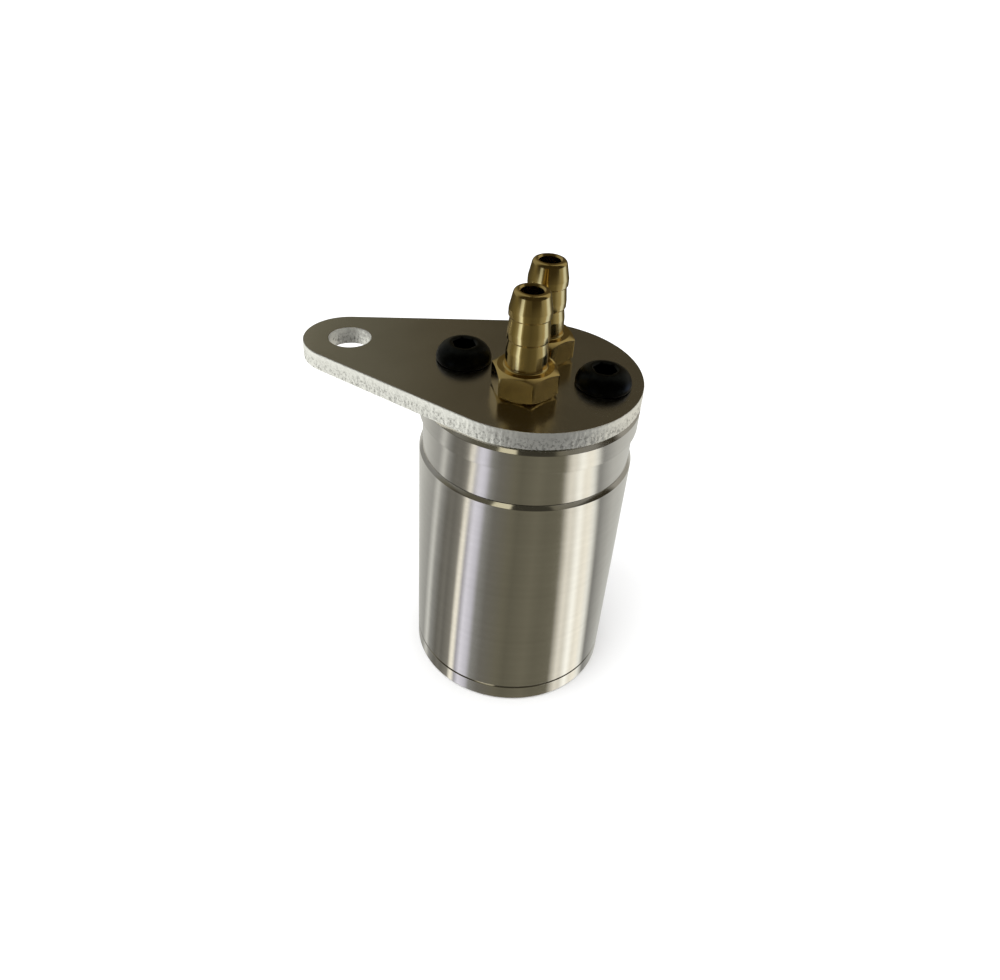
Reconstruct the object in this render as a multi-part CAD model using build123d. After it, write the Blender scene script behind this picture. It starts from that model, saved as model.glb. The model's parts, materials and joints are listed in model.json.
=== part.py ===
"""Small turned-aluminium hydraulic reservoir that hangs from a teardrop mounting plate.

A screw-together canister: base cap, body tube and lid are joined by two M36 x 1.5 threads, each sealed by an
O-ring in a seat at the tube's end. The threads are drawn as plain cylinders in running fit. The plate is held
on the lid by two M6 button head screws, and two brass hose barbs pass through it into the lid. Under the lid a
pick-up tube with a strainer feeds the outlet, and a short tube takes the return.

Millimetres. The canister's axis is Z, its foot stands on Z = 0, and the plate's tab points along -X.
"""

import os
from math import acos, cos, radians, sin, tan

from build123d import *

OUT = "parts"

# Canister, from the foot upwards
BODY_R = 21.0  # base cap, body tube and lid flange
BASE_JOINT_Z = 4.1  # base cap flange meets the tube
LID_JOINT_Z = 53.8  # tube meets the lid
FLANGE_Z = 61.3  # underside of the lid's flange
LID_TOP_Z = 66.3
BAND_R = 20.35  # shallow band between the lid's flange and the tube
BORE_R = 16.8  # tube bore
SPIGOT_BORE_R = 14.8  # hollow inside the base cap's threaded spigot
JOINT_GAP = 0.1  # between the tube's end faces and the shoulders that they screw up to

# Edge breaks
LID_TOP_CHAMFER = 1.2
TUBE_TOP_CHAMFER = BODY_R - BAND_R
BASE_TOP_CHAMFER = 0.35
FOOT_CHAMFER = 0.5
EDGE_BREAK = 0.15

# Canister threads, M36 x 1.5, one at each end of the tube
THREAD_R = 17.95
THREAD_CLEARANCE = 0.05
THREAD_LEAD = 0.7  # chamfer at a spigot's free end
LID_SPIGOT_LENGTH = 9.0
BASE_SPIGOT_LENGTH = 8.0
COUNTERBORE_DEPTH = 10.5  # each end of the tube, from its end face

# Canister O-rings: the seats are in the tube's ends, and the rings slip over the threads
SEAT_R = 19.7
SEAT_DEPTH = 1.5
O_RING_R = 18.8  # centre line
O_RING_SECTION_R = 0.72

# Mounting plate
PLATE_T = 3.5
PLATE_TOP_Z = LID_TOP_Z + PLATE_T
TAB_X = -36.5  # centre of the tab's round end and of its hole
TAB_R = 9.0
TAB_HOLE_R = 4.0
PLATE_EDGE_BREAK = 0.2

# Plate screws, M6 x 12 button head
SCREW_X = 13.4
SCREW_R = 3.0
SCREW_HOLE_R = 3.2
SCREW_LENGTH = 12.0
TAPPED_DEPTH = 10.0
HEAD_R = 5.25
HEAD_H = 3.3
HEAD_RIM_H = 0.75
HEAD_FLAT_R = 2.8
SOCKET_AF = 4.0
SOCKET_DEPTH = 2.1
SOCKET_CHAMFER = 0.25

# Hose barbs, 1/4 in hose on an M8 x 1 thread
BARB_Y = 7.0
PORT_R = 4.0
PORT_HOLE_R = 4.15
PORT_DEPTH = 7.5
PORT_BORE_R = 2.0
HEX_AF = 11.0
HEX_H = 5.0
HEX_FACE_R = 5.1  # the flat that is left on the hexagon's ends when its corners are turned off
OUTLET_HEX_TURN = -3.5  # where each hexagon ended up when it was tightened, in degrees
RETURN_HEX_TURN = -2.0
CREST_R = 3.8  # the stem too
ROOT_R = 3.5  # just under each crest
STEM_H = 8.1  # top of the plain stem, above the plate, as are CREST_HEIGHTS and BARB_H
CREST_HEIGHTS = (10.4, 14.6)
CREST_STEP_H = 0.25
CREST_LAND = 1.2
BARB_H = 19.2
NOSE_R = 3.3
NOSE_ROUND = 0.9
MOUTH_CHAMFER = 0.3
SHANK_CHAMFER = 0.6  # at the end of the barbs' and the screws' shanks

# O-rings under the plate, round the barbs' threads
PORT_SEAT_R = 5.9
PORT_SEAT_DEPTH = 1.7
PORT_RING_R = 4.95
PORT_RING_SECTION_R = 0.78

# Tubes and strainer under the lid
TUBE_R = 2.5
TUBE_BORE_R = 1.8
TUBE_TOP_Z = 58.6
PICKUP_END_Z = 16.0
RETURN_END_Z = 36.0
RETURN_CUT_ANGLE = 45.0
CAGE_R = 4.0
CAGE_BORE_R = 3.4
CAGE_TOP_Z = 20.5
CAGE_COLLAR = 3.2
CAGE_SLOT_COUNT = 6
CAGE_SLOT_W = 1.8
CAGE_SLOT_H = 7.6
CAGE_BOTTOM_Z = 6.5
MESH_WALL = 0.25
PLUG_T = 1.2
PLUG_SPIGOT_H = 1.6

TOUCH_GAP = 0.02  # round a plain shank or a pressed-in tube, so that it doesn't overlap its hole
OVERCUT = 1.0  # how far a cutting tool runs past the face that it opens


def ring(outer_r, inner_r, low_z, high_z):
    """A plain tube about Z between two heights."""
    height = high_z - low_z
    shell = Cylinder(outer_r, height) - Cylinder(inner_r, height + OVERCUT)
    return Pos(0, 0, (low_z + high_z) / 2) * shell


def disc(radius, low_z, high_z):
    """A solid cylinder about Z between two heights."""
    return Pos(0, 0, (low_z + high_z) / 2) * Cylinder(radius, high_z - low_z)


def turned(points):
    """The solid of revolution about Z of a closed outline of (radius, height) points."""
    face = make_face(Plane.XZ * Polyline(*points, close=True))
    return revolve(face, Axis.Z)


def funnel(small_r, depth, top_z):
    """The 45 degree cone that chamfers a hole's mouth at a height."""
    return turned([(0, top_z - depth), (small_r, top_z - depth), (small_r + depth, top_z), (0, top_z)])


def o_ring(centre_r, section_r, z):
    """A torus about Z at a height."""
    return Pos(0, 0, z) * Torus(centre_r, section_r)


def teardrop(big_r, small_r, small_x):
    """The plate's outline: a big circle on the axis and a small one on the tab, joined by their tangents."""
    slope = acos((big_r - small_r) / -small_x)
    big_touch = (-big_r * cos(slope), big_r * sin(slope))
    small_touch = (small_x - small_r * cos(slope), small_r * sin(slope))
    outline = [
        ThreePointArc(big_touch, (big_r, 0), (big_touch[0], -big_touch[1])),
        Line((big_touch[0], -big_touch[1]), (small_touch[0], -small_touch[1])),
        ThreePointArc((small_touch[0], -small_touch[1]), (small_x - small_r, 0), small_touch),
        Line(small_touch, big_touch),
    ]
    return make_face(outline)


def mounting_plate():
    """Flat sheet: tab hole, two screw holes and two holes for the barbs' threads."""
    sheet = extrude(teardrop(BODY_R, TAB_R, TAB_X), PLATE_T)
    sheet = chamfer(sheet.edges().filter_by(Plane.XY), PLATE_EDGE_BREAK)
    holes = [Pos(TAB_X, 0) * Cylinder(TAB_HOLE_R, 3 * PLATE_T)]
    for side in (-1, 1):
        holes.append(Pos(side * SCREW_X, 0) * Cylinder(SCREW_HOLE_R, 3 * PLATE_T))
        holes.append(Pos(0, side * BARB_Y) * Cylinder(PORT_HOLE_R, 3 * PLATE_T))
    return Pos(0, 0, LID_TOP_Z) * (sheet - holes)


def lid():
    """Flange, shallow band and solid threaded spigot in one turning, with its ports and tapped holes."""
    spigot_z = LID_JOINT_Z - LID_SPIGOT_LENGTH
    body = turned(
        [
            (0, LID_TOP_Z),
            (BODY_R - LID_TOP_CHAMFER, LID_TOP_Z),
            (BODY_R, LID_TOP_Z - LID_TOP_CHAMFER),
            (BODY_R, FLANGE_Z),
            (BAND_R, FLANGE_Z),
            (BAND_R, LID_JOINT_Z),
            (THREAD_R, LID_JOINT_Z),
            (THREAD_R, spigot_z + THREAD_LEAD),
            (THREAD_R - THREAD_LEAD, spigot_z),
            (0, spigot_z),
        ]
    )
    for side in (-1, 1):
        body -= Pos(side * SCREW_X, 0) * disc(SCREW_R, LID_TOP_Z - TAPPED_DEPTH, LID_TOP_Z + OVERCUT)
        port = disc(PORT_SEAT_R, LID_TOP_Z - PORT_SEAT_DEPTH, LID_TOP_Z + OVERCUT)
        port += disc(PORT_R, LID_TOP_Z - PORT_DEPTH, LID_TOP_Z)
        port += disc(TUBE_R, spigot_z - OVERCUT, LID_TOP_Z - PORT_DEPTH)
        body -= Pos(0, side * BARB_Y) * port
    return body


def body_tube():
    """Plain tube whose ends are bored out for a thread and, wider still, for an O-ring."""
    foot_z = BASE_JOINT_Z + JOINT_GAP
    mouth_z = LID_JOINT_Z - JOINT_GAP
    thread_r = THREAD_R + THREAD_CLEARANCE
    return turned(
        [
            (BODY_R - EDGE_BREAK, foot_z),
            (BODY_R, foot_z + EDGE_BREAK),
            (BODY_R, mouth_z - TUBE_TOP_CHAMFER),
            (BODY_R - TUBE_TOP_CHAMFER, mouth_z),
            (SEAT_R, mouth_z),
            (SEAT_R, mouth_z - SEAT_DEPTH),
            (thread_r, mouth_z - SEAT_DEPTH),
            (thread_r, mouth_z - COUNTERBORE_DEPTH),
            (BORE_R, mouth_z - COUNTERBORE_DEPTH),
            (BORE_R, foot_z + COUNTERBORE_DEPTH),
            (thread_r, foot_z + COUNTERBORE_DEPTH),
            (thread_r, foot_z + SEAT_DEPTH),
            (SEAT_R, foot_z + SEAT_DEPTH),
            (SEAT_R, foot_z),
        ]
    )


def base_cap():
    """Foot of the canister: a flange with a hollow threaded spigot."""
    spigot_z = BASE_JOINT_Z + BASE_SPIGOT_LENGTH
    return turned(
        [
            (0, 0),
            (BODY_R - FOOT_CHAMFER, 0),
            (BODY_R, FOOT_CHAMFER),
            (BODY_R, BASE_JOINT_Z - BASE_TOP_CHAMFER),
            (BODY_R - BASE_TOP_CHAMFER, BASE_JOINT_Z),
            (THREAD_R, BASE_JOINT_Z),
            (THREAD_R, spigot_z - THREAD_LEAD),
            (THREAD_R - THREAD_LEAD, spigot_z),
            (SPIGOT_BORE_R, spigot_z),
            (SPIGOT_BORE_R, BASE_JOINT_Z),
            (0, BASE_JOINT_Z),
        ]
    )


def hexagon_head(turn):
    """The barb's hexagon standing on Z = 0, its corners turned off at 30 degrees at both ends."""
    prism = extrude(RegularPolygon(HEX_AF / 2, 6, major_radius=False, rotation=turn), HEX_H)
    corner_r = HEX_AF / 2 / cos(radians(30))
    drop = (corner_r - HEX_FACE_R) * tan(radians(30))
    envelope = turned(
        [
            (0, 0),
            (HEX_FACE_R, 0),
            (corner_r, drop),
            (corner_r, HEX_H - drop),
            (HEX_FACE_R, HEX_H),
            (0, HEX_H),
        ]
    )
    return prism & envelope


def hose_barb(hex_turn):
    """Brass barb standing on Z = 0: hexagon, stem and crests above it, threaded shank below, one bore through."""
    outline = [(0, HEX_H / 2), (CREST_R, HEX_H / 2), (CREST_R, STEM_H)]
    for crest in CREST_HEIGHTS:
        outline += [(ROOT_R, crest - CREST_STEP_H), (CREST_R, crest), (CREST_R, crest + CREST_LAND)]
    outline += [(NOSE_R, BARB_H - NOSE_ROUND)]
    for angle in (22.5, 45, 67.5, 90):
        outline.append(
            (
                NOSE_R - NOSE_ROUND * (1 - cos(radians(angle))),
                BARB_H - NOSE_ROUND * (1 - sin(radians(angle))),
            )
        )
    outline += [(0, BARB_H)]
    stem = turned(outline)
    shank_end = -(PLATE_T + PORT_DEPTH - 0.4)
    shank_r = PORT_R - TOUCH_GAP
    shank = turned(
        [
            (0, HEX_H / 2),
            (shank_r, HEX_H / 2),
            (shank_r, shank_end + SHANK_CHAMFER),
            (shank_r - SHANK_CHAMFER, shank_end),
            (0, shank_end),
        ]
    )
    bore = disc(PORT_BORE_R, shank_end - OVERCUT, BARB_H + OVERCUT)
    mouth = funnel(PORT_BORE_R, MOUTH_CHAMFER, BARB_H)
    return hexagon_head(hex_turn) + stem + shank - bore - mouth


def plate_screw():
    """M6 x 12 button head socket screw, its head standing on Z = 0."""
    rise = HEAD_H - HEAD_RIM_H
    shoulder = (HEAD_FLAT_R + (HEAD_R - HEAD_FLAT_R) * 0.66, HEAD_RIM_H + rise * 0.62)
    outline = [
        Line((0, 0), (HEAD_R - EDGE_BREAK, 0)),
        Line((HEAD_R - EDGE_BREAK, 0), (HEAD_R, EDGE_BREAK)),
        Line((HEAD_R, EDGE_BREAK), (HEAD_R, HEAD_RIM_H)),
        ThreePointArc((HEAD_R, HEAD_RIM_H), shoulder, (HEAD_FLAT_R, HEAD_H)),
        Line((HEAD_FLAT_R, HEAD_H), (0, HEAD_H)),
        Line((0, HEAD_H), (0, 0)),
    ]
    dome = Plane.XZ * make_face(outline)
    head = revolve(dome, Axis.Z)
    shank_r = SCREW_R - TOUCH_GAP
    shank = turned(
        [
            (0, 0),
            (shank_r, 0),
            (shank_r, SHANK_CHAMFER - SCREW_LENGTH),
            (shank_r - SHANK_CHAMFER, -SCREW_LENGTH),
            (0, -SCREW_LENGTH),
        ]
    )
    socket = Pos(0, 0, HEAD_H - SOCKET_DEPTH) * extrude(
        RegularPolygon(SOCKET_AF / 2, 6, major_radius=False), SOCKET_DEPTH + OVERCUT
    )
    corner_r = SOCKET_AF / 2 / cos(radians(30))
    rim = funnel(corner_r - SOCKET_CHAMFER / 2, SOCKET_CHAMFER, HEAD_H)
    return head + shank - socket - rim


def pickup_tube():
    """Straight tube from the outlet port down into the strainer."""
    return ring(TUBE_R - TOUCH_GAP, TUBE_BORE_R, PICKUP_END_Z, TUBE_TOP_Z)


def return_tube():
    """Short tube under the return port, its end cut at 45 degrees so that the oil leaves towards the wall."""
    tube = ring(TUBE_R - TOUCH_GAP, TUBE_BORE_R, RETURN_END_Z, TUBE_TOP_Z)
    wedge = Pos(0, 0, RETURN_END_Z) * Rot(RETURN_CUT_ANGLE, 0, 0) * Box(4 * TUBE_R, 8 * TUBE_R, 2 * TUBE_R)
    return tube - wedge


def strainer_cage():
    """Slotted sleeve with a collar that grips the pick-up tube."""
    cage = ring(CAGE_R, CAGE_BORE_R, CAGE_BOTTOM_Z, CAGE_TOP_Z)
    cage += ring(CAGE_R, TUBE_R, CAGE_TOP_Z - CAGE_COLLAR, CAGE_TOP_Z)
    slot_z = CAGE_BOTTOM_Z + PLUG_SPIGOT_H + 0.3 + CAGE_SLOT_H / 2
    for i in range(CAGE_SLOT_COUNT):
        angle = i * 360 / CAGE_SLOT_COUNT
        cage -= Pos(0, 0, slot_z) * Rot(0, 0, angle) * Pos(CAGE_R, 0) * Box(CAGE_R, CAGE_SLOT_W, CAGE_SLOT_H)
    return cage


def strainer_mesh():
    """Fine mesh sleeve inside the cage, drawn as a plain sleeve of the mesh's thickness."""
    outer_r = CAGE_BORE_R - TOUCH_GAP
    return ring(outer_r, outer_r - MESH_WALL, CAGE_BOTTOM_Z, CAGE_TOP_Z - CAGE_COLLAR)


def strainer_plug():
    """Plug that closes the lower end of the strainer."""
    plug = disc(CAGE_R, CAGE_BOTTOM_Z - PLUG_T, CAGE_BOTTOM_Z)
    spigot_r = CAGE_BORE_R - MESH_WALL - 2 * TOUCH_GAP
    return plug + disc(spigot_r, CAGE_BOTTOM_Z, CAGE_BOTTOM_Z + PLUG_SPIGOT_H)


def nodes():
    """Every sub-part in its place, by name."""
    on_plate = Pos(0, 0, PLATE_TOP_Z)
    screw = on_plate * plate_screw()
    port_ring = o_ring(PORT_RING_R, PORT_RING_SECTION_R, LID_TOP_Z - PORT_SEAT_DEPTH / 2)
    half_seat = (JOINT_GAP + SEAT_DEPTH) / 2
    front = Pos(0, -BARB_Y)
    rear = Pos(0, BARB_Y)
    return {
        "base_cap": base_cap(),
        "base_o_ring": o_ring(O_RING_R, O_RING_SECTION_R, BASE_JOINT_Z + half_seat),
        "body_tube": body_tube(),
        "lid_o_ring": o_ring(O_RING_R, O_RING_SECTION_R, LID_JOINT_Z - half_seat),
        "lid": lid(),
        "mounting_plate": mounting_plate(),
        "left_plate_screw": Pos(-SCREW_X, 0) * screw,
        "right_plate_screw": Pos(SCREW_X, 0) * screw,
        "outlet_hose_barb": front * on_plate * hose_barb(OUTLET_HEX_TURN),
        "return_hose_barb": rear * on_plate * hose_barb(RETURN_HEX_TURN),
        "outlet_port_o_ring": front * port_ring,
        "return_port_o_ring": rear * port_ring,
        "pickup_tube": front * pickup_tube(),
        "return_tube": rear * return_tube(),
        "strainer_cage": front * strainer_cage(),
        "strainer_mesh": front * strainer_mesh(),
        "strainer_plug": front * strainer_plug(),
    }


os.makedirs(OUT, exist_ok=True)
for name, shape in nodes().items():
    export_step(shape, f"{OUT}/{name}.step")
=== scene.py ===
"""The finished look of the hydraulic reservoir: turned canister, cut plate, brass barbs and black screws.

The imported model's frame: the canister's axis is Z, its foot is on Z = 0, and the plate's tab points along -X.
The frame and Blender count in metres; the outlines here are in millimetres. The pieces that show are made
again with rounded edges, real threads and a rough cut edge, in the places and sizes of the CAD nodes that
they replace. The pieces inside keep their CAD meshes and get a material.
"""

import json
from math import acos, atan2, ceil, cos, floor, pi, radians, sin, sqrt, tan

import bmesh
import bpy
from mathutils import Matrix, Vector, noise


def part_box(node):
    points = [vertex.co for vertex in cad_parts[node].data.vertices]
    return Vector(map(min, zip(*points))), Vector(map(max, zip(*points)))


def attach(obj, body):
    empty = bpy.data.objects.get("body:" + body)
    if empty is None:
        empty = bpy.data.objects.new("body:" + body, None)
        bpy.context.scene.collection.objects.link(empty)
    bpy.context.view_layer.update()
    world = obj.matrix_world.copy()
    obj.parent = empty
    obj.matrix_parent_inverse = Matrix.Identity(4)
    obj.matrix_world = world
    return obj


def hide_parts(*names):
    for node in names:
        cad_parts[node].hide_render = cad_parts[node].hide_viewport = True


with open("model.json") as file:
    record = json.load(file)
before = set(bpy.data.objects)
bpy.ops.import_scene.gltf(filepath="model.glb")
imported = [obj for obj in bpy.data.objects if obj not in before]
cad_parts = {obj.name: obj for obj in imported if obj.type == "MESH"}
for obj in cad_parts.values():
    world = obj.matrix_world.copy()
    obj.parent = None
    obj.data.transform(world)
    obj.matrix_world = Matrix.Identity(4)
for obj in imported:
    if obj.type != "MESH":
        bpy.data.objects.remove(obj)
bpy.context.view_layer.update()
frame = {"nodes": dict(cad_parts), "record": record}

MM = 0.001
TURN = 2 * pi

record = frame["record"]
SLOT_OF = {row["node"]: row["material_slot"] for row in record["subparts"]}
BODY_OF = {node: body for body, nodes in record["behaviour"]["bodies"].items() for node in nodes}


# --------------------------------------------------------------------------------------------------------
# Sizes, in millimetres: places from the CAD nodes' boxes, details from the design
# --------------------------------------------------------------------------------------------------------


def box_mm(node):
    """Lowest and highest corner of a CAD node."""
    low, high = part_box(node)
    return low / MM, high / MM


plate_low, plate_high = box_mm("mounting_plate")
lid_low, lid_high = box_mm("lid")
tube_low, tube_high = box_mm("body_tube")
_, cap_high = box_mm("base_cap")
screw_low, screw_high = box_mm("right_plate_screw")
barb_low, barb_high = box_mm("outlet_hose_barb")

# Canister
BODY_R = tube_high.x
JOINT_GAP = 0.1
LID_TOP = lid_high.z
LID_JOINT = tube_high.z + JOINT_GAP
BASE_JOINT = tube_low.z - JOINT_GAP
FLANGE_H = 5.0
FLANGE_FOOT = LID_TOP - FLANGE_H
BAND_DEPTH = 0.65  # of the shallow band under the lid's flange, and of the chamfer on the tube's end
BAND_R = BODY_R - BAND_DEPTH
LID_CHAMFER = 1.2
CAP_CHAMFER = 0.35
FOOT_CHAMFER = 0.5
BORE_R = 16.8
CAP_BORE_R = 14.8
COUNTERBORE = 10.5
SEAT_R = 19.7
SEAT_DEPTH = 1.5
NECK_R = 17.0
NECK_LENGTH = 2.0
EDGE_ROUND = 0.12
FINE_ROUND = 0.08
INNER_ROUND = 0.2

# Canister threads, M36 x 1.5
PITCH = 1.5
THREAD_R = 17.95
THREAD_DEPTH = 0.8
THREAD_ROOT_R = THREAD_R - THREAD_DEPTH
BORE_THREAD_R = 18.0
BORE_RIDGE_R = BORE_THREAD_R - THREAD_DEPTH
SPIGOT_LEAD = 0.7  # plain end of a spigot, before its thread starts
SPIGOT_CHAMFER = 0.3
BORE_LEAD = 0.2
BORE_RUNOUT = 0.5

# Plate
PLATE_TOP = plate_high.z
PLATE_BOTTOM = plate_low.z
TAB_R = 9.0
TAB_X = plate_low.x + TAB_R
TAB_HOLE_R = 4.0
EDGE_BREAK = 0.22
SMOOTH_LIP = 0.8  # depth of the clean band along the top of the cut edge
FULL_SPECKLE = 1.7  # depth at which the cut edge is as rough as it gets

# Screws
SCREW_X = (screw_low.x + screw_high.x) / 2
HEAD_R = (screw_high.x - screw_low.x) / 2
HEAD_H = screw_high.z - PLATE_TOP
RIM_H = 0.75
SHOULDER_IN = 0.45
SHOULDER_DOWN = 0.55
DOME_ROUND = 3.0
CROWN_FLAT_R = 2.8
SOCKET_AF = 4.0
SOCKET_CORNER = 0.12
SOCKET_MOUTH_R = 2.45
SOCKET_LEAD = 0.2
SOCKET_DEPTH = 2.1
SOCKET_CONE = 0.3
SHANK_R = 2.98
SHANK_LENGTH = PLATE_TOP - screw_low.z
SHANK_CHAMFER = 0.6  # of the screws and of the barbs
SCREW_HOLE_R = 3.2
TAPPED_R = 3.0
TAPPED_DEPTH = 10.0

# Hose barbs
BARB_Y = (barb_low.y + barb_high.y) / 2
BARB_H = barb_high.z - PLATE_TOP
BARB_SHANK = PLATE_TOP - barb_low.z
HEX_AF = 11.0
HEX_CORNER = 0.35
HEX_CHAMFER = radians(30)
HEX_H = 5.0
HEX_FACE_R = 5.1
CREST_R = 3.8
ROOT_R = 3.5
STEM_H = 8.1
CREST_HEIGHTS = (10.4, 14.6)
CREST_STEP_H = 0.25
CREST_LAND = 1.2
NOSE_R = 3.12
NOSE_ROUND = 0.85
BARB_BORE_R = 2.0
BORE_MOUTH = 0.3
BARB_SHANK_R = 3.98
PORT_HOLE_R = 4.15
PORT_SEAT_R = 5.9
PORT_SEAT_DEPTH = 1.7
PORT_THREAD_R = 4.0
PORT_THREAD_DEPTH = 7.5
TUBE_HOLE_R = 2.5
OUTLET_HEX_TURN = radians(-3.5)
RETURN_HEX_TURN = radians(-2)


# --------------------------------------------------------------------------------------------------------
# Materials
# --------------------------------------------------------------------------------------------------------


class Nodes:
    """A material's node tree, with short calls that add and join nodes. Its patterns are in millimetres."""

    def __init__(self, name):
        self.material = bpy.data.materials.new(name)
        self.material.use_nodes = True
        self.tree = self.material.node_tree
        self.shader = self.tree.nodes["Principled BSDF"]

    def add(self, kind, **settings):
        """A node of a kind, with its attributes set."""
        node = self.tree.nodes.new("ShaderNode" + kind)
        for key, value in settings.items():
            setattr(node, key, value)
        return node

    def put(self, value, socket):
        """A socket takes another socket's output, or a constant."""
        if isinstance(value, bpy.types.NodeSocket):
            self.tree.links.new(value, socket)
        elif isinstance(value, tuple) and len(value) == 3 and socket.type == "RGBA":
            socket.default_value = (*value, 1.0)
        else:
            socket.default_value = value

    def set(self, **inputs):
        """Inputs of the shader; an underscore stands for a space."""
        for key, value in inputs.items():
            self.put(value, self.shader.inputs[key.replace("_", " ")])

    def math(self, operation, a, b=0.0):
        """One arithmetic step on sockets or numbers."""
        node = self.add("Math", operation=operation)
        self.put(a, node.inputs[0])
        self.put(b, node.inputs[1])
        return node.outputs["Value"]

    def object_axes(self):
        """The point's X, Y and Z in the object's own frame."""
        split = self.add("SeparateXYZ")
        self.put(self.add("TexCoord").outputs["Object"], split.inputs["Vector"])
        return split.outputs

    def around(self):
        """(distance from the Z axis, 0, height): a pattern on it runs round the axis in true circles."""
        axes = self.object_axes()
        x_squared = self.math("MULTIPLY", axes["X"], axes["X"])
        y_squared = self.math("MULTIPLY", axes["Y"], axes["Y"])
        distance = self.math("SQRT", self.math("ADD", x_squared, y_squared))
        joined = self.add("CombineXYZ")
        self.put(distance, joined.inputs["X"])
        self.put(axes["Z"], joined.inputs["Z"])
        return joined.outputs["Vector"]

    def noise(self, cell, detail=2.0, roughness=0.5, where=None):
        """Noise whose cells are that many millimetres along each axis."""
        mapping = self.add("Mapping")
        mapping.inputs["Scale"].default_value = [1 / (size * MM) for size in cell]
        self.put(where or self.add("TexCoord").outputs["Object"], mapping.inputs["Vector"])
        node = self.add("TexNoise")
        node.inputs["Scale"].default_value = 1.0
        node.inputs["Detail"].default_value = detail
        node.inputs["Roughness"].default_value = roughness
        self.put(mapping.outputs["Vector"], node.inputs["Vector"])
        return node.outputs["Fac"]

    def spread(self, value, low, high, from_low=0.3, from_high=0.7):
        """A value between from_low and from_high carried over to low..high."""
        node = self.add("MapRange")
        node.inputs["From Min"].default_value = from_low
        node.inputs["From Max"].default_value = from_high
        node.inputs["To Min"].default_value = low
        node.inputs["To Max"].default_value = high
        self.put(value, node.inputs["Value"])
        return node.outputs["Result"]

    def blend(self, factor, a, b):
        """Number a where factor is 0 and b where it is 1."""
        share_of_a = self.math("MULTIPLY", a, self.math("SUBTRACT", 1.0, factor))
        share_of_b = self.math("MULTIPLY", b, factor)
        return self.math("ADD", share_of_a, share_of_b)

    def mix(self, factor, a, b):
        """Colour a where factor is 0 and b where it is 1."""
        node = self.add("Mix", data_type="RGBA")
        self.put(factor, node.inputs["Factor"])
        first, second = [socket for socket in node.inputs if socket.type == "RGBA"]
        self.put(a, first)
        self.put(b, second)
        return [socket for socket in node.outputs if socket.type == "RGBA"][0]

    def bump(self, height, depth, under=None):
        """A bump as deep as that many millimetres, on top of another bump."""
        node = self.add("Bump")
        node.inputs["Strength"].default_value = 1.0
        node.inputs["Distance"].default_value = depth * MM
        self.put(height, node.inputs["Height"])
        if under is not None:
            self.put(under, node.inputs["Normal"])
        return node.outputs["Normal"]


CHATTER_TO_RINGS = 12  # how much deeper the slow waves of a turned surface are than its rings


def turned_metal(name, dark, light, roughness, marks):
    """Metal straight from the lathe: fine rings round its own Z axis draw its gloss out across them.

    dark and light are its two colours, and marks is the depth of the rings.
    """
    m = Nodes(name)
    around = m.around()
    rings = m.noise((0.16, 1, 0.16), detail=2.0, where=around)
    bands = m.noise((1.6, 1, 1.6), detail=3.0, where=around)
    chatter = m.noise((2.5, 2.5, 1.6), detail=2.0)
    cloud = m.noise((9, 9, 14), detail=4.0, roughness=0.6)
    tone = m.math("ADD", m.spread(bands, 0.0, 0.5), m.spread(cloud, 0.0, 0.5))
    rough = m.math("ADD", m.spread(cloud, -0.01, 0.02), m.spread(rings, roughness - 0.02, roughness + 0.03))
    ringed = m.bump(rings, marks)
    m.set(
        Base_Color=m.mix(tone, dark, light),
        Metallic=1.0,
        Roughness=rough,
        Anisotropic=0.9,
        Anisotropic_Rotation=0.25,
        Tangent=m.add("Tangent", direction_type="RADIAL", axis="Z").outputs["Tangent"],
        Normal=m.bump(chatter, marks * CHATTER_TO_RINGS, under=ringed),
    )
    return m.material


def plate_metal():
    """Rolled sheet: satin faces with faint lines, and a bright cut edge, speckled below its smooth lip."""
    m = Nodes("plate_aluminium")
    split = m.add("SeparateXYZ")
    m.put(m.add("TexCoord").outputs["Normal"], split.inputs["Vector"])
    level = m.math("ABSOLUTE", split.outputs["Z"])
    cut = m.spread(level, 1.0, 0.0, from_low=0.55, from_high=0.95)
    below_lip = m.spread(
        m.object_axes()["Z"],
        1.0,
        0.15,
        from_low=(PLATE_TOP - FULL_SPECKLE) * MM,
        from_high=(PLATE_TOP - SMOOTH_LIP) * MM,
    )
    grain = m.noise((0.3, 0.3, 0.45), detail=4.0, roughness=0.7)
    speck = m.noise((0.5, 0.5, 0.6), detail=3.0, roughness=0.65)
    lines = m.noise((14, 0.35, 14), detail=3.0)
    cloud = m.noise((12, 12, 12), detail=4.0)
    face = m.mix(m.spread(cloud, 0.0, 1.0), (0.62, 0.60, 0.56), (0.70, 0.68, 0.64))
    pits = m.math("MULTIPLY", m.spread(speck, 0.0, 1.0, from_low=0.48, from_high=0.66), below_lip)
    edge = m.mix(pits, (0.84, 0.84, 0.81), (0.40, 0.40, 0.38))
    face_rough = m.math("ADD", m.spread(lines, -0.02, 0.03), m.spread(cloud, 0.17, 0.21))
    face_relief = m.math("MULTIPLY", lines, 0.02)
    edge_relief = m.math("MULTIPLY", grain, below_lip)
    m.set(
        Base_Color=m.mix(cut, face, edge),
        Metallic=m.blend(cut, 1.0, 0.85),
        Roughness=m.blend(cut, face_rough, m.spread(grain, 0.3, 0.5)),
        Normal=m.bump(m.blend(cut, face_relief, edge_relief), 0.06),
    )
    return m.material


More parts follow.
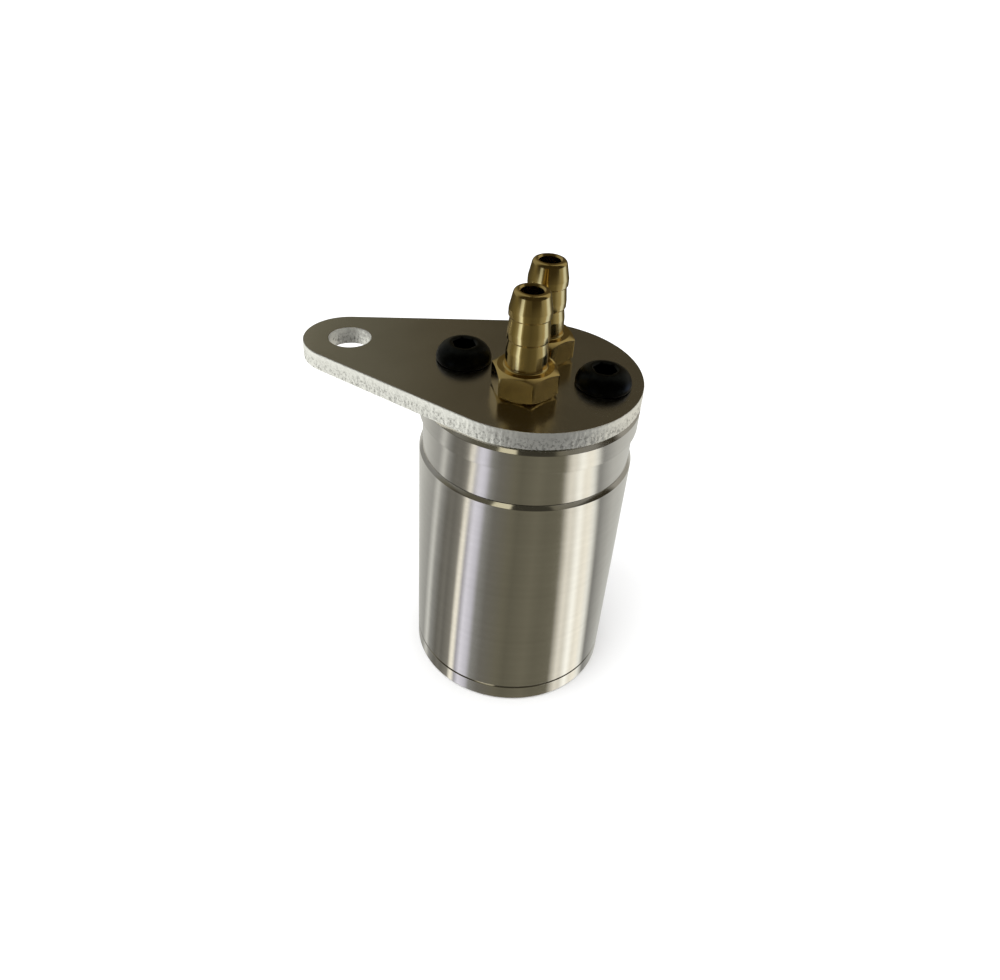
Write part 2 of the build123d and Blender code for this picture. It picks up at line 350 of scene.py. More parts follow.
def black_oxide():
    """Blackened steel: almost black and a little uneven, with an oily satin gloss."""
    m = Nodes("black_steel")
    cloud = m.noise((1.2, 1.2, 1.2), detail=4.0, roughness=0.6)
    grain = m.noise((0.16, 0.16, 0.16), detail=2.0)
    m.set(
        Base_Color=m.mix(m.spread(cloud, 0.0, 1.0), (0.010, 0.011, 0.011), (0.022, 0.024, 0.023)),
        Metallic=1.0,
        Roughness=m.spread(cloud, 0.3, 0.42),
        Normal=m.bump(grain, 0.004),
    )
    return m.material


def rubber():
    """Moulded nitrile: dark, matte and slightly dusty."""
    m = Nodes("nitrile_rubber")
    dust = m.noise((1.4, 1.4, 1.4), detail=5.0, roughness=0.65)
    grain = m.noise((0.2, 0.2, 0.2), detail=2.0)
    m.set(
        Base_Color=m.mix(m.spread(dust, 0.0, 1.0), (0.016, 0.016, 0.017), (0.042, 0.041, 0.040)),
        Roughness=m.spread(dust, 0.5, 0.72),
        Normal=m.bump(grain, 0.008),
    )
    return m.material


def nylon():
    """Black moulded nylon of the strainer."""
    m = Nodes("black_nylon")
    cloud = m.noise((1.7, 1.7, 1.7), detail=3.0)
    grain = m.noise((0.15, 0.15, 0.15), detail=2.0)
    m.set(
        Base_Color=m.mix(m.spread(cloud, 0.0, 1.0), (0.020, 0.020, 0.022), (0.036, 0.036, 0.038)),
        Roughness=m.spread(cloud, 0.42, 0.58),
        Normal=m.bump(grain, 0.006),
    )
    return m.material


def woven_mesh():
    """Fine steel gauze: wires along the axis and round it, drawn by two waves."""
    m = Nodes("steel_mesh")
    wire_pitch = 0.25 * MM
    wires_round = 84
    axes = m.object_axes()
    angle = m.math("ARCTAN2", m.math("ADD", axes["Y"], BARB_Y * -MM), axes["X"])
    columns = m.math("SINE", m.math("MULTIPLY", angle, wires_round))
    rows = m.math("SINE", m.math("MULTIPLY", axes["Z"], TURN / wire_pitch))
    wires = m.spread(m.math("MAXIMUM", rows, columns), 0.0, 1.0, from_low=-1.0, from_high=1.0)
    m.set(
        Base_Color=m.mix(wires, (0.08, 0.08, 0.08), (0.62, 0.61, 0.60)),
        Metallic=1.0,
        Roughness=m.spread(wires, 0.6, 0.3, from_low=0.0, from_high=1.0),
        Normal=m.bump(wires, 0.08),
    )
    return m.material


MATERIALS = {
    "turned_aluminium": turned_metal("turned_aluminium", (0.72, 0.70, 0.67), (0.80, 0.78, 0.75), 0.1, 0.0003),
    "turned_brass": turned_metal("turned_brass", (0.72, 0.53, 0.19), (0.80, 0.60, 0.24), 0.13, 0.0003),
    "drawn_brass": turned_metal("drawn_brass", (0.60, 0.43, 0.16), (0.70, 0.52, 0.20), 0.3, 0.0008),
    "plate_aluminium": plate_metal(),
    "black_steel": black_oxide(),
    "nitrile_rubber": rubber(),
    "black_nylon": nylon(),
    "steel_mesh": woven_mesh(),
}

for cad_name, cad_node in frame["nodes"].items():
    for place in cad_node.material_slots:
        place.material = MATERIALS[SLOT_OF[cad_name]]


# --------------------------------------------------------------------------------------------------------
# Mesh tools
# --------------------------------------------------------------------------------------------------------


WELD = 0.0004
SHORTEST_EDGE = 0.0002
SHARP_FROM = radians(32)


def piece(name, bm):
    """An object made of a mesh in millimetres, smooth apart from its real edges."""
    bmesh.ops.remove_doubles(bm, verts=bm.verts, dist=WELD)
    bmesh.ops.dissolve_degenerate(bm, edges=bm.edges, dist=SHORTEST_EDGE)
    bmesh.ops.recalc_face_normals(bm, faces=bm.faces)
    bmesh.ops.scale(bm, vec=(MM, MM, MM), verts=bm.verts)
    mesh = bpy.data.meshes.new(name)
    bm.to_mesh(mesh)
    bm.free()
    mesh.set_sharp_from_angle(angle=SHARP_FROM)
    obj = bpy.data.objects.new(name, mesh)
    bpy.context.scene.collection.objects.link(obj)
    return obj


def stands_for(obj, node):
    """obj takes a CAD node's place: its body, its material slot and that slot's material.

    Normals are weighted by area, or a long wall would be shaded like a barrel beside its small roundings.
    """
    obj.data.materials.append(MATERIALS[SLOT_OF[node]])
    straight_walls = obj.modifiers.new("straight walls", "WEIGHTED_NORMAL")
    straight_walls.keep_sharp = True
    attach(obj, BODY_OF[node])
    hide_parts(node)


def rounded(corners, steps=4):
    """An open outline. A corner (radius, height, rounding) becomes an arc; (radius, height) stays sharp."""
    points = []
    for i, corner in enumerate(corners):
        here = Vector(corner[:2])
        if len(corner) == 2:
            points.append(here)
            continue
        rounding = corner[2]
        before = (Vector(corners[i - 1][:2]) - here).normalized()
        after = (Vector(corners[i + 1][:2]) - here).normalized()
        half = before.angle(after) / 2
        centre = here + (before + after).normalized() * rounding / sin(half)
        start = here + before * rounding / tan(half) - centre
        end = here + after * rounding / tan(half) - centre
        for step in range(steps + 1):
            points.append(centre + start.lerp(end, step / steps).normalized() * rounding)
    return points


ROUND_STEPS = 256
ROUND = [TURN * i / ROUND_STEPS for i in range(ROUND_STEPS + 1)]


def lathe(name, outline_at, angles=ROUND):
    """A closed mesh about Z. outline_at(angle) is a loop of (radius, height), always of as many points."""
    bm = bmesh.new()
    columns = []
    for angle in angles:
        columns.append([bm.verts.new((r * cos(angle), r * sin(angle), z)) for r, z in outline_at(angle)])
    for here, there in zip(columns, columns[1:]):
        for i in range(len(here)):
            bm.faces.new((here[i - 1], here[i], there[i], there[i - 1]))
    return piece(name, bm)


def thread(low, high, valley_r, crest_r, phase, angle):
    """A right-handed V thread with flats, from low up to high, where a half-plane at an angle cuts it.

    phase is the height of its start, in pitches.
    """
    half_flat = 1 / 16
    form = (
        (half_flat, valley_r),
        (0.5 - half_flat, crest_r),
        (0.5 + half_flat, crest_r),
        (1 - half_flat, valley_r),
    )
    points = []
    for turn in range(floor(low / PITCH) - 2, ceil(high / PITCH) + 2):
        for part, r in form:
            z = PITCH * (turn + part + phase + angle / TURN)
            inside = low < z < high
            points.append((r if inside else valley_r, min(max(z, low), high)))
    return points


def spigot_thread(low, high, angle):
    """The ridges on a spigot."""
    return thread(low, high, THREAD_ROOT_R, THREAD_R, 0.0, angle)


def bore_thread(low, high, angle):
    """The ridges in a bore, half a pitch from a spigot's, so that they mesh."""
    return thread(low, high, BORE_THREAD_R, BORE_RIDGE_R, 0.5, angle)


def hexagon_angles():
    """Angles all round a hexagon, closer together at its corners."""
    steps = 14
    angles = []
    for corner in range(6):
        for i in range(-steps, steps):
            angles.append(radians(60) * corner + radians(30) * i * abs(i) / steps**2)
    return angles + [angles[0] + TURN]


def hexagon_radius(angle, across_flats, corner_round):
    """Distance from the axis to a hexagon with rounded corners, at an angle from one of them."""
    off = (angle + radians(30)) % radians(60) - radians(30)
    centre = (across_flats / 2 - corner_round) / cos(radians(30))
    touch = atan2(corner_round * 0.5, centre + corner_round * cos(radians(30)))
    if abs(off) < touch:
        return centre * cos(off) + sqrt(corner_round**2 - (centre * sin(off)) ** 2)
    return across_flats / 2 / cos(radians(30) - abs(off))


# --------------------------------------------------------------------------------------------------------
# Canister
# --------------------------------------------------------------------------------------------------------


def lid_outline(angle):
    """Crown, flange, shallow band and solid threaded spigot."""
    spigot = lid_low.z
    outside = rounded(
        [
            (0, LID_TOP),
            (BODY_R - LID_CHAMFER, LID_TOP, EDGE_ROUND),
            (BODY_R, LID_TOP - LID_CHAMFER, EDGE_ROUND),
            (BODY_R, FLANGE_FOOT, EDGE_ROUND),
            (BAND_R, FLANGE_FOOT, 0.06),
            (BAND_R, LID_JOINT, FINE_ROUND),
            (NECK_R, LID_JOINT, INNER_ROUND),
            (NECK_R, LID_JOINT - NECK_LENGTH, 0.1),
            (THREAD_ROOT_R, LID_JOINT - NECK_LENGTH),
        ]
    )
    ridges = spigot_thread(spigot + SPIGOT_LEAD, LID_JOINT - NECK_LENGTH, angle)
    underside = rounded(
        [
            (THREAD_ROOT_R, spigot + SPIGOT_LEAD),
            (THREAD_ROOT_R - SPIGOT_CHAMFER, spigot, 0.15),
            (0, spigot),
        ]
    )
    return outside + ridges[::-1] + underside


OVERCUT = 1.0  # how far a drill reaches past the metal


def drill(obj, x, y, steps):
    """Cuts a round stepped hole into obj. steps are (radius, how deep under the lid's top)."""
    last = LID_TOP + OVERCUT
    outline = [(0, last)]
    for radius, depth in steps:
        outline += [(radius, last), (radius, LID_TOP - depth)]
        last = LID_TOP - depth
    outline.append((0, last))
    tool = lathe("drill", lambda angle: outline, ROUND[::4])
    tool.location = Vector((x, y, 0)) * MM
    modifier = obj.modifiers.new("hole", "BOOLEAN")
    modifier.object = tool
    modifier.solver = "EXACT"
    bpy.context.view_layer.update()
    cut = bpy.data.meshes.new_from_object(obj.evaluated_get(bpy.context.evaluated_depsgraph_get()))
    obj.modifiers.clear()
    obj.data = cut
    bpy.data.objects.remove(tool)


lid = lathe("lid_turning", lid_outline)
for hole_side in (-1, 1):
    drill(lid, hole_side * SCREW_X, 0, [(TAPPED_R, TAPPED_DEPTH)])
    seat = (PORT_SEAT_R, PORT_SEAT_DEPTH)
    tapping = (PORT_THREAD_R, PORT_THREAD_DEPTH)
    tube_hole = (TUBE_HOLE_R, LID_TOP - lid_low.z + OVERCUT)
    drill(lid, 0, hole_side * BARB_Y, [seat, tapping, tube_hole])
stands_for(lid, "lid")


def tube_outline(angle):
    """Wall of the canister, bored out at both ends for a thread and an O-ring."""
    foot = tube_low.z
    mouth = tube_high.z
    upper = rounded(
        [
            (BODY_R, (foot + mouth) / 2),
            (BODY_R, mouth - BAND_DEPTH, FINE_ROUND),
            (BAND_R, mouth, FINE_ROUND),
            (SEAT_R, mouth, EDGE_ROUND),
            (SEAT_R, mouth - SEAT_DEPTH, INNER_ROUND),
            (BORE_THREAD_R, mouth - SEAT_DEPTH),
        ]
    )
    upper_ridges = bore_thread(mouth - COUNTERBORE + BORE_RUNOUT, mouth - SEAT_DEPTH - BORE_LEAD, angle)
    middle = rounded(
        [
            (BORE_THREAD_R, mouth - COUNTERBORE),
            (BORE_R, mouth - COUNTERBORE, 0.15),
            (BORE_R, foot + COUNTERBORE, 0.15),
            (BORE_THREAD_R, foot + COUNTERBORE),
        ]
    )
    lower_ridges = bore_thread(foot + SEAT_DEPTH + BORE_LEAD, foot + COUNTERBORE - BORE_RUNOUT, angle)
    lower = rounded(
        [
            (BORE_THREAD_R, foot + SEAT_DEPTH),
            (SEAT_R, foot + SEAT_DEPTH, INNER_ROUND),
            (SEAT_R, foot, EDGE_ROUND),
            (BODY_R, foot, EDGE_ROUND),
            (BODY_R, (foot + mouth) / 2),
        ]
    )
    return upper + upper_ridges[::-1] + middle + lower_ridges[::-1] + lower


def cap_outline(angle):
    """Foot of the canister with its hollow threaded spigot."""
    spigot = cap_high.z
    outside = rounded(
        [
            (0, 0),
            (BODY_R - FOOT_CHAMFER, 0, 0.1),
            (BODY_R, FOOT_CHAMFER, 0.1),
            (BODY_R, BASE_JOINT - CAP_CHAMFER, FINE_ROUND),
            (BODY_R - CAP_CHAMFER, BASE_JOINT, FINE_ROUND),
            (NECK_R, BASE_JOINT, INNER_ROUND),
            (NECK_R, BASE_JOINT + NECK_LENGTH, 0.1),
            (THREAD_ROOT_R, BASE_JOINT + NECK_LENGTH),
        ]
    )
    ridges = spigot_thread(BASE_JOINT + NECK_LENGTH, spigot - SPIGOT_LEAD, angle)
    inside = rounded(
        [
            (THREAD_ROOT_R, spigot - SPIGOT_LEAD),
            (THREAD_ROOT_R - SPIGOT_CHAMFER, spigot, 0.15),
            (CAP_BORE_R, spigot, 0.15),
            (CAP_BORE_R, BASE_JOINT, 0.5),
            (0, BASE_JOINT),
        ]
    )
    return outside + ridges + inside


stands_for(lathe("body_turning", tube_outline), "body_tube")
stands_for(lathe("base_turning", cap_outline), "base_cap")


# --------------------------------------------------------------------------------------------------------
# Plate
# --------------------------------------------------------------------------------------------------------

EDGE_GRAIN = 0.2  # spacing of the points of a cut edge


# An outline is a list of points, each with its direction out of the metal.


def arc(centre_x, radius, start, end):
    """Outline round a centre on the X axis, from one angle to another."""
    centre = Vector((centre_x, 0))
    steps = round(radius * (end - start) / EDGE_GRAIN)
    outline = []
    for i in range(steps + 1):
        angle = start + (end - start) * i / steps
        out = Vector((cos(angle), sin(angle)))
        outline.append((centre + out * radius, out))
    return outline


def straight(start, end):
    """Outline between two points that face the same way, without those two."""
    steps = round((end[0] - start[0]).length / EDGE_GRAIN)
    return [(start[0].lerp(end[0], i / steps), start[1]) for i in range(1, steps)]


def teardrop():
    """The plate's outline, anticlockwise: two arcs and the straights that touch both."""
    half = pi - acos((BODY_R - TAB_R) / -TAB_X)
    around_body = arc(0, BODY_R, -half, half)
    around_tab = arc(TAB_X, TAB_R, half, TURN - half)
    far_side = straight(around_body[-1], around_tab[0])
    near_side = straight(around_tab[-1], around_body[0])
    return around_body + far_side + around_tab + near_side


def hole(x, y, radius):
    """A round hole's outline."""
    steps = round(TURN * radius / EDGE_GRAIN)
    outline = []
    for i in range(steps):
        angle = TURN * i / steps
        out = Vector((-cos(angle), -sin(angle)))
        outline.append((Vector((x, y)) - out * radius, out))
    return outline


MEAN_CUT = 0.055
GRAIN_CUT = 0.05
STREAK_CUT_TOP = 0.02
STREAK_CUT_MORE = 0.06  # added to it on the way down
COARSE_GRAIN = 0.32
FINE_GRAIN = 0.17
STREAK_WIDTH = 0.45
STREAK_LENGTH = 2.2


def cut_depth(point, z):
    """How far the cutter's marks go into the edge: grain, and upright streaks that deepen downwards."""
    down = (PLATE_TOP - z) / (PLATE_TOP - PLATE_BOTTOM)
    place = Vector((point.x, point.y, z))
    grain = noise.noise(place / COARSE_GRAIN) + 0.6 * noise.noise(place / FINE_GRAIN)
    streaks = noise.noise(Vector((point.x / STREAK_WIDTH, point.y / STREAK_WIDTH, z / STREAK_LENGTH)))
    return max(0.0, MEAN_CUT + GRAIN_CUT * grain + (STREAK_CUT_TOP + STREAK_CUT_MORE * down) * streaks)


BREAK_STEPS = 4


def cut_wall(bm, outline):
    """The upright wall along an outline, with rounded edges. Returns its top and bottom loops of edges."""
    rows = []  # each (how far in, height, how rough)
    for i in range(BREAK_STEPS + 1):
        tilt = radians(90) * i / BREAK_STEPS
        inset = EDGE_BREAK * (1 - sin(tilt))
        rows.append((inset, PLATE_TOP - EDGE_BREAK * (1 - cos(tilt)), i / BREAK_STEPS))
    wall = PLATE_TOP - PLATE_BOTTOM - 2 * EDGE_BREAK
    count = round(wall / EDGE_GRAIN)
    for i in range(1, count):
        rows.append((0.0, PLATE_TOP - EDGE_BREAK - wall * i / count, 1.0))
    for i in range(BREAK_STEPS + 1):
        tilt = radians(90) * i / BREAK_STEPS
        inset = EDGE_BREAK * (1 - cos(tilt))
        rows.append((inset, PLATE_BOTTOM + EDGE_BREAK * (1 - sin(tilt)), 1 - i / BREAK_STEPS))
    loops = []
    for inset, z, roughness in rows:
        loop = []
        for point, out in outline:
            depth = inset + cut_depth(point, z) * roughness
            at = point - out * depth
            loop.append(bm.verts.new((at.x, at.y, z)))
        loops.append(loop)
    for upper, lower in zip(loops, loops[1:]):
        for i in range(len(upper)):
            bm.faces.new((upper[i - 1], upper[i], lower[i], lower[i - 1]))
    rims = (loops[0], loops[-1])
    return [[bm.edges.get((loop[i - 1], loop[i])) for i in range(len(loop))] for loop in rims]


def plate():
    """Cut sheet with its five holes."""
    bm = bmesh.new()
    outlines = [teardrop(), hole(TAB_X, 0, TAB_HOLE_R)]
    for side in (-1, 1):
        outlines.append(hole(side * SCREW_X, 0, SCREW_HOLE_R))
        outlines.append(hole(0, side * BARB_Y, PORT_HOLE_R))
    top = []
    bottom = []
    for outline in outlines:
        upper, lower = cut_wall(bm, outline)
        top += upper
        bottom += lower
    for face in bm.faces:
        face.smooth = True
    for loop in (top, bottom):
        bmesh.ops.triangle_fill(bm, use_beauty=True, use_dissolve=False, edges=loop)
    return piece("cut_plate", bm)


stands_for(plate(), "mounting_plate")


# --------------------------------------------------------------------------------------------------------
# Screws and barbs, made standing on Z = 0
# --------------------------------------------------------------------------------------------------------


def screw_outline(angle):
    """M6 button head with its socket, and its shank below."""
    socket_r = hexagon_radius(angle, SOCKET_AF, SOCKET_CORNER)
    socket_floor = HEAD_H - SOCKET_DEPTH
    return rounded(
        [
            (0, -SHANK_LENGTH),
            (SHANK_R - SHANK_CHAMFER, -SHANK_LENGTH),
            (SHANK_R, SHANK_CHAMFER - SHANK_LENGTH),
            (SHANK_R, 0),
            (HEAD_R, 0, 0.3),
            (HEAD_R, RIM_H, 0.2),
            (HEAD_R - SHOULDER_IN, HEAD_H - SHOULDER_DOWN, DOME_ROUND),
            (CROWN_FLAT_R, HEAD_H, 0.25),
            (SOCKET_MOUTH_R, HEAD_H, 0.1),
            (socket_r, HEAD_H - SOCKET_LEAD),
            (socket_r, socket_floor),
            (0, socket_floor - SOCKET_CONE),
        ]
    )


def barb_outline(angle):
    """Hose barb: bore, tapered nose, two crests, stem, hexagon with both ends turned off, and shank."""
    hex_r = hexagon_radius(angle, HEX_AF, HEX_CORNER)
    drop = (hex_r - HEX_FACE_R) * tan(HEX_CHAMFER)
    corners = [
        (BARB_BORE_R, 0),
        (BARB_BORE_R, BARB_H - BORE_MOUTH),
        (BARB_BORE_R + BORE_MOUTH, BARB_H, 0.06),
        (NOSE_R, BARB_H, NOSE_ROUND),
    ]
    for crest in reversed(CREST_HEIGHTS):
        corners.append((CREST_R, crest + CREST_LAND, 1.0))
        corners.append((CREST_R, crest, 0.15))
        corners.append((ROOT_R, crest - CREST_STEP_H, 0.2))
    corners += [
        (CREST_R, STEM_H, 2.0),
        (CREST_R, HEX_H, 0.35),
        (HEX_FACE_R, HEX_H, 0.1),
        (hex_r, HEX_H - drop, 0.06),
        (hex_r, drop, 0.06),
        (HEX_FACE_R, 0, 0.1),
        (BARB_SHANK_R, 0),
        (BARB_SHANK_R, SHANK_CHAMFER - BARB_SHANK),
        (BARB_SHANK_R - SHANK_CHAMFER, -BARB_SHANK),
        (BARB_BORE_R, -BARB_SHANK),
    ]
    return rounded(corners)


def on_plate(obj, x, y, turn=0.0):
    """Stands obj on the plate, turned about its own axis."""
    obj.location = Vector((x, y, PLATE_TOP)) * MM
    obj.rotation_euler = (0, 0, turn)
    return obj


for screw_node, side in (("left_plate_screw", -1), ("right_plate_screw", 1)):
    button = lathe(screw_node + "_turning", screw_outline, hexagon_angles())
    stands_for(on_plate(button, side * SCREW_X, 0), screw_node)

for barb_node, side, hex_turn in (
    ("outlet_hose_barb", 1, OUTLET_HEX_TURN),
    ("return_hose_barb", -1, RETURN_HEX_TURN),
):
    fitting = lathe(barb_node + "_turning", barb_outline, hexagon_angles())
    stands_for(on_plate(fitting, 0, side * BARB_Y, hex_turn), barb_node)


# --------------------------------------------------------------------------------------------------------
# Stage: camera, floor, three rooms that only the metal mirrors, and the light
# --------------------------------------------------------------------------------------------------------

CAMERA_AT = Vector((0.02442, -0.13375, 0.14603))
LOOKS_AT = Vector((-0.0044, 0.0, 0.04046))
CAMERA_ROLL = radians(4.456)
LENS = 29.71
SENSOR = 36.0


def camera():
    """The photograph's viewpoint, for a frame of 1000 by 980."""
    data = bpy.data.cameras.new("camera")
    data.sensor_width = SENSOR
    data.lens = LENS
    data.clip_start = 0.005
    data.clip_end = 20.0
    obj = bpy.data.objects.new("camera", data)
    bpy.context.scene.collection.objects.link(obj)
    aim = (LOOKS_AT - CAMERA_AT).to_track_quat("-Z", "Y").to_matrix().to_4x4()
    obj.matrix_world = Matrix.Translation(CAMERA_AT) @ aim @ Matrix.Rotation(CAMERA_ROLL, 4, "Z")
    bpy.context.scene.camera = obj


camera()


def backdrop(name, bm, material):
    """A mesh in metres that belongs to the studio and not to the object."""
    mesh = bpy.data.meshes.new(name)
    bm.to_mesh(mesh)
    bm.free()
    mesh.materials.append(material)
    obj = bpy.data.objects.new(name, mesh)
    bpy.context.scene.collection.objects.link(obj)
    return obj


def studio_floor():
    """Plain white floor, which the metal doesn't mirror."""
    bm = bmesh.new()
    bmesh.ops.create_grid(bm, x_segments=1, y_segments=1, size=4.0)
    m = Nodes("floor")
    m.set(Base_Color=(0.94, 0.94, 0.94), Roughness=0.9, Specular_IOR_Level=0.1)
    backdrop("floor", bm, m.material).visible_glossy = False


studio_floor()

# The metal doesn't mirror the plain studio. It mirrors three hidden rooms, and each shines on one group of
# pieces: the canister, the plate, or everything else. They were made for the match with the photograph, and
# no real room would light the three groups like that. A strip is one level of a room, as stops of (degrees
# round Z from the camera's side, brightness, tint). The stops were set to match brightness measured in the
# photograph, and by comparing renders with it.
#
# Below the horizon the canister has LOW_ROOM, which its wall looks down into, the plate has EDGE_ROOM, and
# the rest LEVEL_ROOM. Above the horizon all three have MIDDLE_ROOM. Higher up the canister and the plate have
# HIGH_ROOM, and the rest still MIDDLE_ROOM.
WHITE = (1.0, 1.0, 0.92)
GREY = (1.0, 1.0, 0.93)
CREAM = (1.0, 0.96, 0.83)
OLIVE = (1.0, 0.93, 0.66)
BROWN = (1.0, 0.83, 0.5)
VIOLET = (0.95, 0.94, 1.04)
DAYLIGHT = (0.85, 1.0, 1.4)
LOW_ROOM = [
    (-180, 0.60, GREY),
    (-150, 0.45, GREY),
    (-130, 0.37, GREY),
    (-119, 0.70, GREY),
    (-111, 0.30, GREY),
    (-98, 0.15, CREAM),
    (-90, 0.20, CREAM),
    (-85, 0.16, CREAM),
    (-76, 0.24, CREAM),
    (-73, 0.28, CREAM),
    (-69, 1.10, CREAM),
    (-66, 1.10, CREAM),
    (-62, 0.42, VIOLET),
    (-56, 0.93, VIOLET),
    (-47, 0.68, VIOLET),
    (-41, 0.27, GREY),
    (-30, 0.17, CREAM),
    (-9, 0.16, OLIVE),
    (0, 0.137, OLIVE),
    (22, 0.172, OLIVE),
    (35, 0.15, OLIVE),
    (55, 0.165, OLIVE),
    (66, 0.90, CREAM),
    (72, 0.80, CREAM),
    (81, 1.25, WHITE),
    (89, 0.97, CREAM),
    (96, 1.10, CREAM),
    (104, 1.00, WHITE),
    (114, 0.25, GREY),
    (126, 0.38, GREY),
    (145, 0.52, GREY),
    (180, 0.60, GREY),
]
LEVEL_ROOM = [
    (-180, 0.075, OLIVE),
    (-130, 0.075, OLIVE),
    (-95, 0.13, OLIVE),
    (-78, 0.17, OLIVE),
    (-60, 0.30, GREY),
    (-48, 1.05, DAYLIGHT),
    (-39, 1.25, DAYLIGHT),
    (-34, 0.35, GREY),
    (-26, 0.14, OLIVE),
    (12, 0.088, OLIVE),
    (48, 0.13, OLIVE),
    (66, 0.28, GREY),
    (88, 0.40, GREY),
    (98, 0.85, DAYLIGHT),
    (112, 0.85, DAYLIGHT),
    (126, 0.20, GREY),
    (140, 0.08, OLIVE),
    (180, 0.075, OLIVE),
]
EDGE_ROOM = [
    (-180, 0.80, WHITE),
    (-90, 1.05, WHITE),
    (-62, 1.00, WHITE),
    (-45, 0.45, GREY),
    (-20, 0.09, OLIVE),
    (10, 0.05, OLIVE),
    (48, 0.05, OLIVE),
    (72, 0.30, GREY),
    (95, 0.75, CREAM),
    (145, 0.80, CREAM),
    (180, 0.80, WHITE),
]
MIDDLE_ROOM = [
    (-180, 0.075, BROWN),
    (-173, 0.095, BROWN),
    (-167, 0.15, OLIVE),
    (-158, 0.20, OLIVE),
    (-140, 0.30, GREY),
    (-100, 0.25, GREY),
    (-85, 0.15, OLIVE),
    (-70, 0.035, BROWN),
    (100, 0.035, BROWN),
    (108, 0.35, CREAM),
    (140, 0.35, CREAM),
    (152, 0.075, BROWN),
    (180, 0.075, BROWN),
]
HIGH_ROOM = [
    (-180, 0.085, BROWN),
    (-155, 0.085, BROWN),
    (-140, 0.35, GREY),
    (-100, 0.30, GREY),
    (-60, 0.12, OLIVE),
    (-33, 0.10, OLIVE),
    (-30, 0.75, OLIVE),
    (-11, 0.75, OLIVE),
    (-8, 0.045, OLIVE),
    (37, 0.045, OLIVE),
    (42, 0.17, OLIVE),
    (75, 0.25, CREAM),
    (96, 0.35, CREAM),
    (99, 1.1, CREAM),
    (106, 1.1, CREAM),
    (109, 0.25, OLIVE),
    (150, 0.085, BROWN),
    (180, 0.085, BROWN),
]
ROOM_R = 6.0
ROOM_STEP = 0.5  # from one room's radius to the next
HORIZON = (-0.05, 0.05)  # heights over radius between which one strip fades into the next
HIGH_FROM = (0.58, 0.62)
LEAN = 1.4
LEAN_LEVEL = 0.714  # depth over radius where leaning stripes stand at their stated degrees
LEAN_END = -0.5  # height over radius above which they no longer lean
CANISTER = ("lid_turning", "body_turning", "base_turning")
PLATE = "cut_plate"


def strip(m, turned, stops):
    """The colours of one strip of a room, by fraction of a turn."""
    ramp = m.add("ValToRGB")
    m.put(turned, ramp.inputs["Fac"])
    elements = ramp.color_ramp.elements
    elements[0].position = 0.0
    elements[1].position = 1.0
    for angle, _, _ in stops[1:-1]:
        elements.new((angle + 180) / 360)
    for element, (_, brightness, tint) in zip(elements, stops):
        element.color = (*(brightness * channel for channel in tint), 1.0)
    return ramp.outputs["Color"]


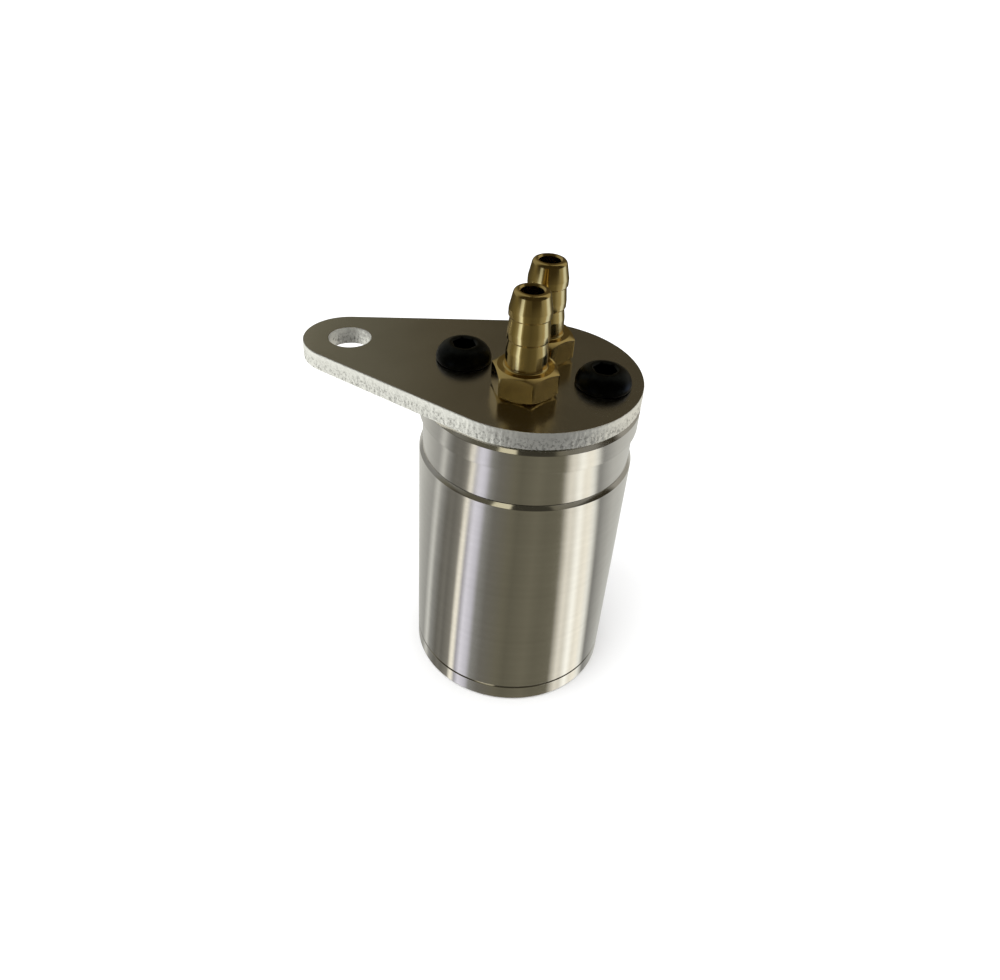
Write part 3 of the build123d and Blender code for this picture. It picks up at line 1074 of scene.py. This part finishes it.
def room(name, radius, lower_stops, highest_stops, lean, seen_by):
    """A big sphere that only glossy rays see, and that shines on one collection's pieces.

    lean is how much its lowest stripes spread out towards the bottom.
    """
    bm = bmesh.new()
    bmesh.ops.create_uvsphere(bm, u_segments=96, v_segments=48, radius=radius)
    m = Nodes(name)
    m.tree.nodes.remove(m.shader)
    axes = m.object_axes()
    turned = m.math("DIVIDE", m.math("ARCTAN2", axes["X"], m.math("MULTIPLY", axes["Y"], -1.0)), TURN)
    height = m.math("DIVIDE", axes["Z"], radius)
    below_level = m.math("ADD", m.math("MINIMUM", height, LEAN_END), LEAN_LEVEL)
    spread_out = m.math("ADD", 1.0, m.math("MULTIPLY", below_level, -lean))
    lower = strip(m, m.math("ADD", m.math("DIVIDE", turned, spread_out), 0.5), lower_stops)
    middle = strip(m, m.math("ADD", turned, 0.5), MIDDLE_ROOM)
    high = strip(m, m.math("ADD", turned, 0.5), highest_stops)
    upper = m.mix(m.spread(height, 0.0, 1.0, *HIGH_FROM), middle, high)
    glow = m.add("Emission")
    m.put(m.mix(m.spread(height, 0.0, 1.0, *HORIZON), lower, upper), glow.inputs["Color"])
    both = m.add("AddShader")
    m.put(glow.outputs["Emission"], both.inputs[0])
    m.put(m.add("BsdfTransparent").outputs["BSDF"], both.inputs[1])
    m.put(both.outputs["Shader"], m.tree.nodes["Material Output"].inputs["Surface"])
    m.material.cycles.emission_sampling = "NONE"
    obj = backdrop(name, bm, m.material)
    obj.light_linking.receiver_collection = seen_by
    obj.rotation_euler.z = atan2(CAMERA_AT.x, -CAMERA_AT.y)
    obj.visible_camera = False
    obj.visible_diffuse = False
    obj.visible_shadow = False
    obj.visible_transmission = False
    obj.visible_volume_scatter = False


def group(name, pieces):
    """A collection of objects, outside the scene's own."""
    collection = bpy.data.collections.new(name)
    for obj in pieces:
        collection.objects.link(obj)
    return collection


shown = [obj for obj in bpy.context.scene.objects if obj.type == "MESH"]
canister = group("canister", [obj for obj in shown if obj.name in CANISTER])
sheet = group("sheet", [obj for obj in shown if obj.name == PLATE])
fittings = group("fittings", [obj for obj in shown if obj.name not in (*CANISTER, PLATE)])
room("room_of_canister", ROOM_R, LOW_ROOM, HIGH_ROOM, LEAN, canister)
room("room_of_sheet", ROOM_R + ROOM_STEP, EDGE_ROOM, HIGH_ROOM, 0.0, sheet)
room("room_of_fittings", ROOM_R + 2 * ROOM_STEP, LEVEL_ROOM, MIDDLE_ROOM, 0.0, fittings)

SUN_FROM = Vector((-0.4, -0.6, 1.0))
SUN_STRENGTH = 1.2
SUN_SPREAD = radians(50)
SKY_STRENGTH = 1.15


def daylight():
    """One soft light from the upper left and an even white sky. The metal mirrors neither."""
    data = bpy.data.lights.new("daylight", "SUN")
    data.energy = SUN_STRENGTH
    data.angle = SUN_SPREAD
    obj = bpy.data.objects.new("daylight", data)
    obj.rotation_euler = (-SUN_FROM).to_track_quat("-Z", "Y").to_euler()
    obj.visible_glossy = False
    bpy.context.scene.collection.objects.link(obj)
    world = bpy.data.worlds.new("studio")
    world.use_nodes = True
    background = world.node_tree.nodes["Background"]
    background.inputs["Color"].default_value = (1.0, 1.0, 1.0, 1.0)
    background.inputs["Strength"].default_value = SKY_STRENGTH
    world.cycles_visibility.glossy = False
    bpy.context.scene.world = world
    bpy.context.scene.view_settings.view_transform = "Standard"


daylight()
